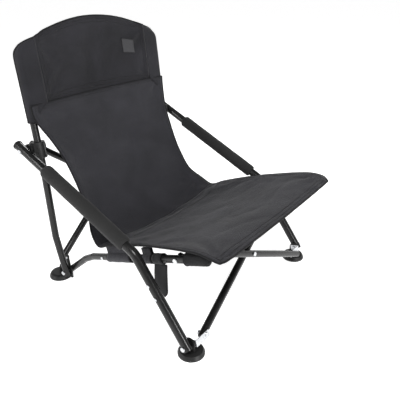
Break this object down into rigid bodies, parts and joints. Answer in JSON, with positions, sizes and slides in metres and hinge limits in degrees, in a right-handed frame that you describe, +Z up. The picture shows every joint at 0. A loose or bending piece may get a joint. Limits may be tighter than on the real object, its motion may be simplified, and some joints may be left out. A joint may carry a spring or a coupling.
{
  "type": "folding camp chair",
  "caption": "Low folding camp chair: fabric sling on bent black steel tubes, crossed front and rear legs, foam arm grips, sliding collars and swivel feet; folds flat and narrow",
  "frame": {"origin": "centre of the overall box in X and Y, on the ground", "axes": "+Z up; the front of the seat faces -Y; +X is the sitter's left"},
  "size_m": [0.57, 0.6116, 0.666],
  "materials": {
    "black_tube": "satin powder coat",
    "black_plastic": "matte",
    "foam": "matt foam",
    "bright_steel": "zinc plated",
    "sling_cloth": "plain weave polyester",
    "webbing": "woven webbing",
    "patch": "plain woven patch"
  },
  "bodies": {
    "right_rear": {"right_upright": "black_tube", "right_upright_cap": "black_plastic", "right_rear_foot": "black_plastic", "right_rear_foot_bolt": "bright_steel", "right_rear_pin": "bright_steel", "right_back_sleeve": "sling_cloth", "headrest_panel": "sling_cloth", "headrest_patch": "patch"},
    "left_rear": {"left_upright": "black_tube", "left_upright_cap": "black_plastic", "left_rear_foot": "black_plastic", "left_rear_foot_bolt": "bright_steel", "left_rear_pin": "bright_steel", "left_back_sleeve": "sling_cloth"},
    "rear_x_a": {"rear_x_a": "black_tube", "rear_x_a_plugs": "black_plastic", "rear_x_rivet": "bright_steel"},
    "rear_x_b": {"rear_x_b": "black_tube", "rear_x_b_plugs": "black_plastic"},
    "front_x_a": {"front_x_a": "black_tube", "front_x_a_plugs": "black_plastic", "front_x_rivet": "bright_steel"},
    "front_x_b": {"front_x_b": "black_tube", "front_x_b_plugs": "black_plastic"},
    "back_sling": {"lower_back_panel": "sling_cloth", "hem_cord": "webbing"},
    "right_collar": {"right_collar": "black_plastic", "right_collar_pin": "bright_steel", "right_arm_bolt": "bright_steel"},
    "right_arm": {"right_arm_tube": "black_tube", "right_arm_cap": "black_plastic", "right_arm_grip": "foam", "right_leg_clip": "bright_steel"},
    "right_front_foot_block": {"right_front_foot": "black_plastic", "right_front_foot_bolt": "bright_steel", "right_front_tab": "bright_steel"},
    "right_side": {"right_side_tube": "black_tube", "right_side_sleeves": "sling_cloth", "right_corner_pocket": "sling_cloth", "right_bracket": "black_tube", "right_bracket_bolt": "bright_steel", "seat_panel": "sling_cloth", "side_strap": "webbing", "hanging_tab": "webbing"},
    "left_collar": {"left_collar": "black_plastic", "left_collar_pin": "bright_steel", "left_arm_bolt": "bright_steel"},
    "left_arm": {"left_arm_tube": "black_tube", "left_arm_cap": "black_plastic", "left_arm_grip": "foam", "left_leg_clip": "bright_steel"},
    "left_front_foot_block": {"left_front_foot": "black_plastic", "left_front_foot_bolt": "bright_steel", "left_front_tab": "bright_steel"},
    "left_side": {"left_side_tube": "black_tube", "left_side_sleeves": "sling_cloth", "left_corner_pocket": "sling_cloth", "left_bracket": "black_tube", "left_bracket_bolt": "bright_steel"}
  },
  "joints": [
    {"name": "fold", "type": "hinge", "parent": "right_rear", "child": "rear_x_a", "pos_m": [-0.213, 0.23565, 0.05236], "axis": [0, -0.9925, 0.1219], "range_deg": [0, 42.34], "deforming": ["headrest_panel", "lower_back_panel", "seat_panel", "right_back_sleeve", "left_back_sleeve", "hanging_tab", "hem_cord", "headrest_patch"]},
    {"name": "rear_cross", "type": "hinge", "parent": "rear_x_a", "child": "rear_x_b", "pos_m": [0, 0.25509, 0.21068], "axis": [0, -0.9925, 0.1219], "range_deg": [-84.69, 0]},
    {"name": "left_rear_turn", "type": "hinge", "parent": "rear_x_b", "child": "left_rear", "pos_m": [0.213, 0.25451, 0.05005], "axis": [0, -0.9925, 0.1219], "range_deg": [0, 42.34]},
    {"name": "right_collar_turn", "type": "hinge", "parent": "rear_x_b", "child": "right_collar", "pos_m": [-0.213, 0.29338, 0.36667], "axis": [0, -0.9925, 0.1219], "range_deg": [0, 42.34]},
    {"name": "left_collar_turn", "type": "hinge", "parent": "rear_x_a", "child": "left_collar", "pos_m": [0.213, 0.27452, 0.36899], "axis": [0, -0.9925, 0.1219], "range_deg": [-42.34, 0]},
    {"name": "right_arm_turn", "type": "hinge", "parent": "right_collar", "child": "right_arm", "pos_m": [-0.268, 0.25504, 0.3744], "axis": [1, 0, 0], "range_deg": [0, 30.16]},
    {"name": "right_side_turn", "type": "hinge", "parent": "right_rear", "child": "right_side", "pos_m": [-0.208, 0.2042, 0.026], "axis": [1, 0, 0], "range_deg": [-56.3, 0]},
    {"name": "right_front_foot_turn", "type": "hinge", "parent": "right_arm", "child": "right_front_foot_block", "pos_m": [-0.254, -0.2398, 0.03], "axis": [1, 0, 0], "range_deg": [-31.93, 0]},
    {"name": "left_arm_turn", "type": "hinge", "parent": "left_collar", "child": "left_arm", "pos_m": [0.268, 0.25504, 0.3744], "axis": [1, 0, 0], "range_deg": [0, 30.16]},
    {"name": "left_side_turn", "type": "hinge", "parent": "left_rear", "child": "left_side", "pos_m": [0.208, 0.2042, 0.026], "axis": [1, 0, 0], "range_deg": [-56.3, 0]},
    {"name": "left_front_foot_turn", "type": "hinge", "parent": "left_arm", "child": "left_front_foot_block", "pos_m": [0.254, -0.2398, 0.03], "axis": [1, 0, 0], "range_deg": [-31.93, 0]},
    {"name": "front_cross_low", "type": "hinge", "parent": "right_front_foot_block", "child": "front_x_a", "pos_m": [-0.213, -0.24463, 0.03129], "axis": [0, -0.9659, 0.2588], "range_deg": [0, 52.68]},
    {"name": "front_cross", "type": "hinge", "parent": "front_x_a", "child": "front_x_b", "pos_m": [0, -0.22854, 0.12999], "axis": [0, -0.9659, 0.2588], "range_deg": [-105.36, 0]},
    {"name": "back_sling_turn", "type": "hinge", "parent": "right_rear", "child": "back_sling", "pos_m": [0, 0.2457, 0.4817], "axis": [1, 0, 0], "range_deg": [0, 21.5]}
  ],
  "couplings": [
    {"joint": "rear_cross", "follows": "fold", "ratio": -2},
    {"joint": "left_rear_turn", "follows": "fold", "ratio": 1},
    {"joint": "right_collar_turn", "follows": "fold", "ratio": 1},
    {"joint": "left_collar_turn", "follows": "fold", "ratio": -1},
    {"joint": "right_arm_turn", "follows": "fold", "ratio": 0.71234},
    {"joint": "right_side_turn", "follows": "fold", "ratio": -1.3296},
    {"joint": "right_front_foot_turn", "follows": "fold", "ratio": -0.75407},
    {"joint": "left_arm_turn", "follows": "fold", "ratio": 0.71234},
    {"joint": "left_side_turn", "follows": "fold", "ratio": -1.3296},
    {"joint": "left_front_foot_turn", "follows": "fold", "ratio": -0.75407},
    {"joint": "front_cross_low", "follows": "fold", "ratio": 1.2442},
    {"joint": "front_cross", "follows": "fold", "ratio": -2.4883},
    {"joint": "back_sling_turn", "follows": "fold", "ratio": 0.50776}
  ]
}
